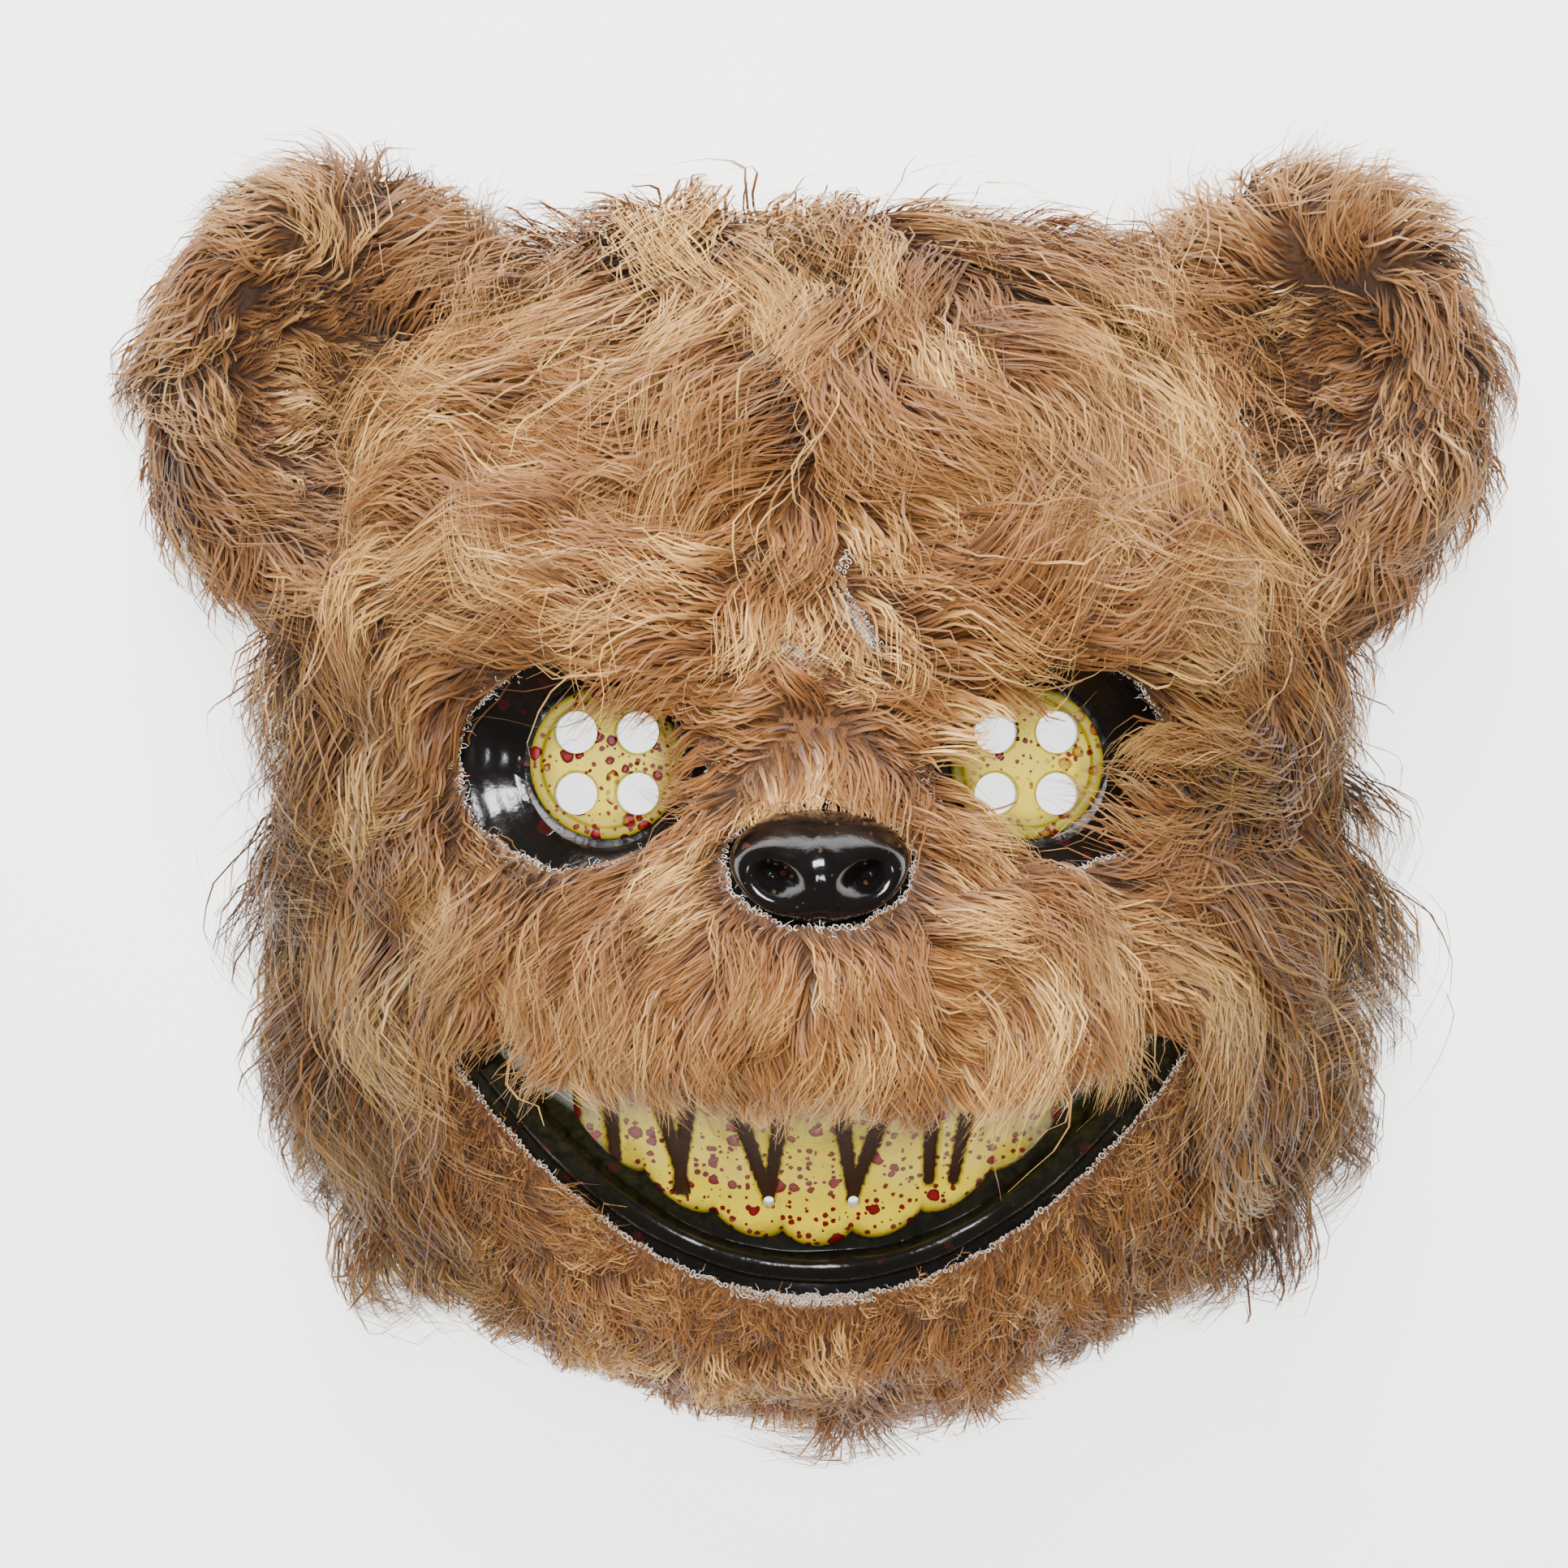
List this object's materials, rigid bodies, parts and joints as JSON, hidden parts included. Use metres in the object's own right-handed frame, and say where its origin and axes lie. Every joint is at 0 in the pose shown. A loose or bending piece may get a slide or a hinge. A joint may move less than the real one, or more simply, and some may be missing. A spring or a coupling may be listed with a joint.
{
  "type": "furry bear face mask",
  "caption": "Hollow bear face mask lying face up: glossy shell with button eyes, nose and a toothy grin, under a long-pile fur cover with cupped fur ears and an elastic strap",
  "frame": {"origin": "under the middle of the mask's bounding box, on the surface that its rim lies on", "axes": "+Z out of the face (up as it lies), +Y to the crown, +X to the right seen from the front"},
  "size_m": [0.3242, 0.3046, 0.1034],
  "materials": {
    "shell": "glossy black moulded plastic with faint dark red specks",
    "eye_paint": "glossy yellow paint on plastic, dark red spatter",
    "nose": "glossy black moulded plastic",
    "tooth_paint": "glossy yellow paint fading into black, dark brown grooves, dark red spatter",
    "fur": "long golden brown artificial fur on a pale knit backing",
    "ear_fur": "long brown artificial fur",
    "elastic": "black ribbed elastic"
  },
  "bodies": {
    "root": {"face_shell": "shell", "button_eye_left": "eye_paint", "button_eye_right": "eye_paint", "nose": "nose", "teeth": "tooth_paint", "fur_cover": "fur", "ear_left": "ear_fur", "ear_right": "ear_fur", "elastic_strap": "elastic"}
  },
  "joints": []
}
